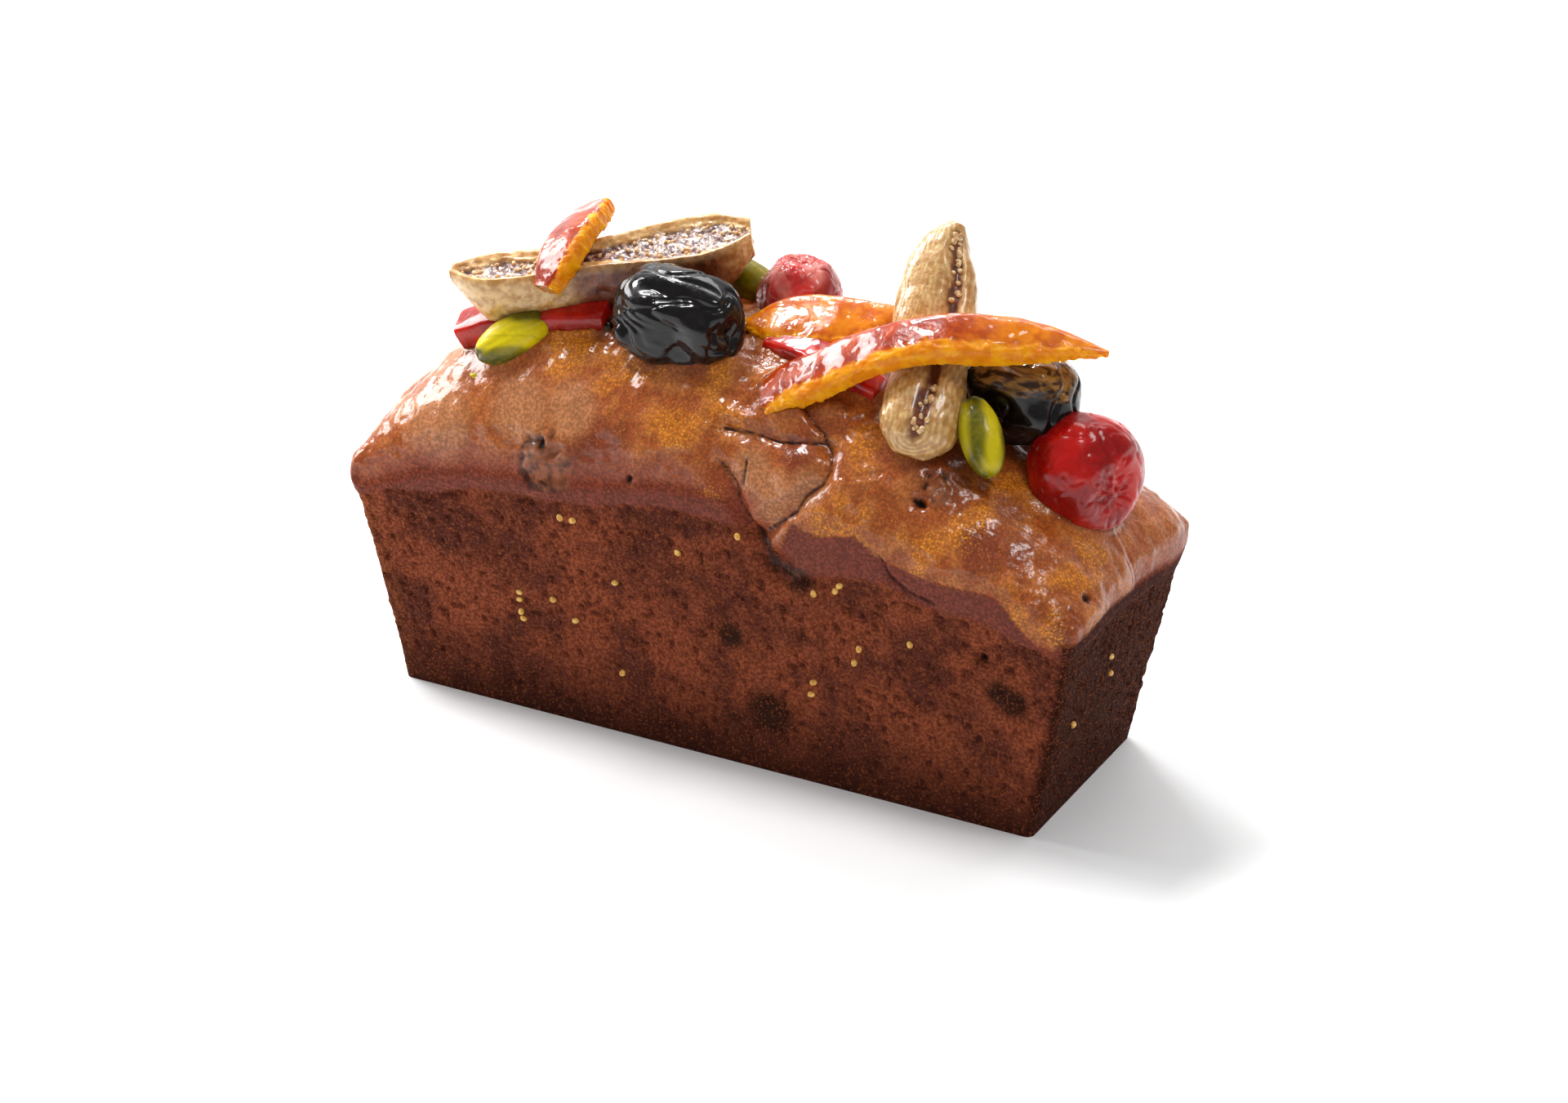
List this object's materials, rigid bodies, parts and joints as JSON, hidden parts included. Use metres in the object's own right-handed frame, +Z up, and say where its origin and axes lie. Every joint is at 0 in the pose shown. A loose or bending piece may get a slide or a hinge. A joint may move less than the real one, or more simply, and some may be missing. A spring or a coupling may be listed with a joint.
{
  "type": "fruitcake",
  "caption": "Loaf-shaped fruitcake with a high glazed dome, topped with candied cherries, orange peel, figs, prunes and pistachios.",
  "frame": {"origin": "middle of the flat base that the loaf rests on", "axes": "+X along the loaf towards its right end, +Y across it towards the back, +Z up"},
  "size_m": [0.1551, 0.0552, 0.1058],
  "materials": {
    "cake": "baked crumb, matte sides and a clear glazed top",
    "fig": "wrinkled dried skin under a clear glaze",
    "peel": "translucent candied peel, glossy",
    "cherry": "translucent candied fruit, wet gloss",
    "red_candy": "translucent candied fruit, glossy",
    "prune": "black folded skin, wet gloss",
    "pistachio": "peeled kernel with a thin glaze"
  },
  "bodies": {
    "root": {"cake_loaf": "cake", "cherry_right": "cherry", "cherry_back": "cherry", "prune_right": "prune", "prune_left": "prune", "fig_half_left": "fig", "fig_folded_right": "fig", "pistachio_left": "pistachio", "pistachio_back": "pistachio", "pistachio_right": "pistachio", "red_slab_left": "red_candy", "orange_strip_long": "peel", "orange_strip_middle": "peel", "orange_strip_short": "peel", "red_piece_middle": "red_candy"}
  },
  "joints": []
}
